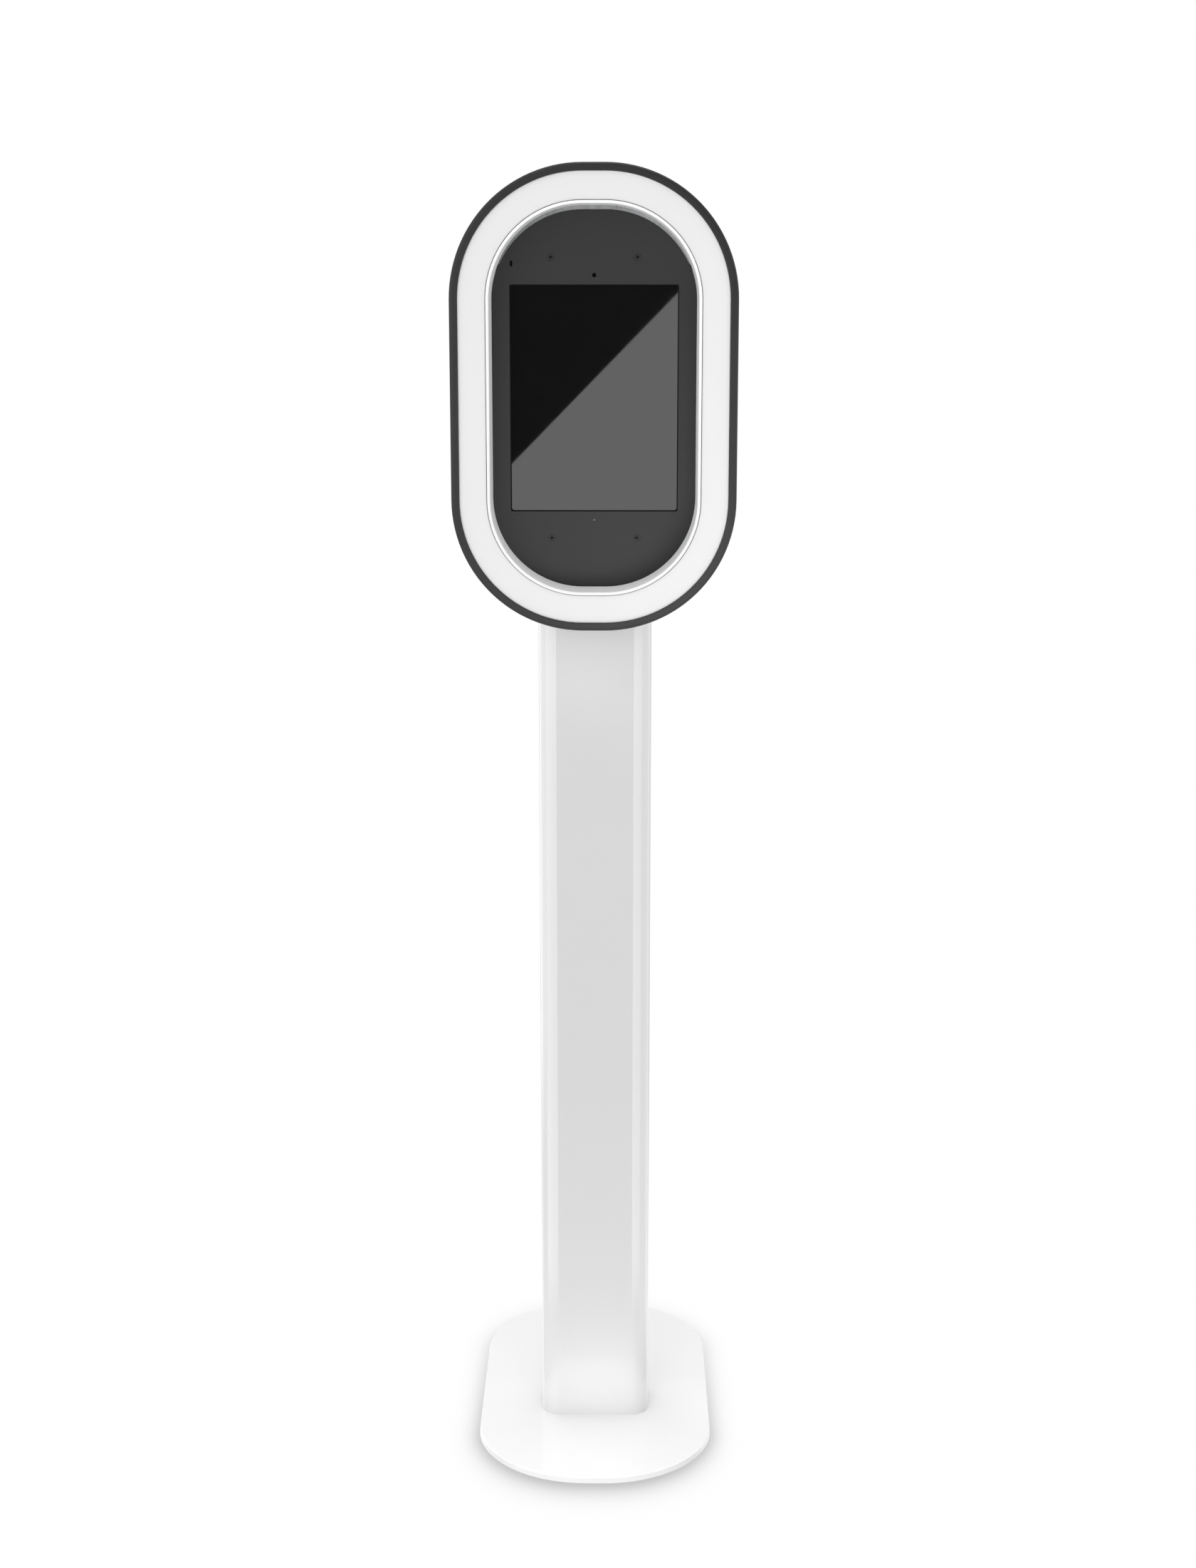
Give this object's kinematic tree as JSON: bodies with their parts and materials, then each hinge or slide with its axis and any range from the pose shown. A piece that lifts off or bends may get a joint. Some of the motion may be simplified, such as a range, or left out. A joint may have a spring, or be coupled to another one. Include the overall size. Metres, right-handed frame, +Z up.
{
  "type": "touchscreen kiosk",
  "caption": "Free-standing tablet kiosk: an oblong tilting head with a light ring round a recessed touch screen, on a square post and a flat floor plate.",
  "frame": {"origin": "on the floor, under the middle of the base plate", "axes": "+Z up, the screen faces -Y, +X to the right seen from the front"},
  "size_m": [0.3306, 0.507, 1.5991],
  "materials": {
    "gloss_white": "gloss powder coat",
    "black_rubber": "matte",
    "zinc_steel": "zinc plated",
    "bright_steel": "satin",
    "black_plastic": "matte",
    "black_gloss": "gloss",
    "black_steel": "black oxide",
    "black_paint": "satin",
    "brass": "satin",
    "charcoal_shell": "satin",
    "charcoal_plate": "fine satin",
    "opal_diffuser": "opal matte",
    "white_plastic": "satin gloss",
    "circuit_board": "solder mask",
    "white_board": "matte",
    "light_chip": "matte",
    "screen_glass": "polished",
    "display_black": "gloss",
    "aluminium": "anodised",
    "dark_grey_plastic": "matte",
    "cable": "matte"
  },
  "bodies": {
    "stand": {"base_plate": "gloss_white", "base_mat": "black_rubber", "foot_block": "zinc_steel", "foot_bolts": "bright_steel", "post_tube": "gloss_white", "post_cap": "gloss_white", "post_grommet": "black_rubber", "inlet_panel": "black_plastic", "inlet_screws": "bright_steel", "power_inlet": "black_plastic", "inlet_pins": "bright_steel", "switch_frame": "black_plastic", "power_supply": "dark_grey_plastic", "supply_bracket": "zinc_steel", "mains_lead": "cable", "supply_lead": "cable", "tilt_bracket": "black_paint", "bracket_bolts": "bright_steel", "bracket_nuts": "bright_steel", "tilt_pins": "bright_steel", "tilt_nuts": "bright_steel", "friction_washers": "brass"},
    "head": {"tilt_plate": "black_paint", "tilt_plate_bolts": "bright_steel", "front_frame": "charcoal_shell", "rear_cover": "charcoal_shell", "cover_screws": "black_steel", "cover_grommet": "black_rubber", "diffuser_ring": "opal_diffuser", "inner_bezel": "white_plastic", "reflector_tray": "white_plastic", "light_board": "white_board", "light_chips": "light_chip", "chassis_plate": "zinc_steel", "face_plate": "charcoal_plate", "face_screws": "charcoal_plate", "face_nuts": "bright_steel", "display_gasket": "black_rubber", "tablet_glass": "screen_glass", "tablet_display": "display_black", "tablet_body": "aluminium", "tablet_battery": "dark_grey_plastic", "tablet_board": "circuit_board", "tablet_camera": "black_plastic", "tablet_pads": "black_rubber", "tablet_tray": "zinc_steel", "tray_spacers": "bright_steel", "tray_screws": "bright_steel", "light_driver": "aluminium", "charge_board": "circuit_board", "head_lead": "cable", "tablet_lead": "white_plastic"},
    "rocker": {"power_rocker": "black_gloss"},
    "home_key": {"home_button": "black_gloss"},
    "sleep_key": {"sleep_button": "aluminium"},
    "volume_up_key": {"volume_up": "aluminium"},
    "volume_down_key": {"volume_down": "aluminium"}
  },
  "joints": [
    {"name": "head_tilt", "type": "hinge", "parent": "stand", "child": "head", "pos_m": [0, -0.103, 1.3333], "axis": [-1, 0, 0], "range_deg": [-5, 15]},
    {"name": "power_switch", "type": "hinge", "parent": "stand", "child": "rocker", "pos_m": [0.024, -0.014, 0.12], "axis": [1, 0, 0], "range_deg": [0, 14]},
    {"name": "home_press", "type": "slide", "parent": "head", "child": "home_key", "axis": [0, 1, 0], "range_m": [0, 0.0004], "stiffness_N_per_m": 800},
    {"name": "sleep_press", "type": "slide", "parent": "head", "child": "sleep_key", "axis": [0, 0, -1], "range_m": [0, 0.0004], "stiffness_N_per_m": 800},
    {"name": "volume_up_press", "type": "slide", "parent": "head", "child": "volume_up_key", "axis": [-1, 0, 0], "range_m": [0, 0.0004], "stiffness_N_per_m": 800},
    {"name": "volume_down_press", "type": "slide", "parent": "head", "child": "volume_down_key", "axis": [-1, 0, 0], "range_m": [0, 0.0004], "stiffness_N_per_m": 800}
  ]
}
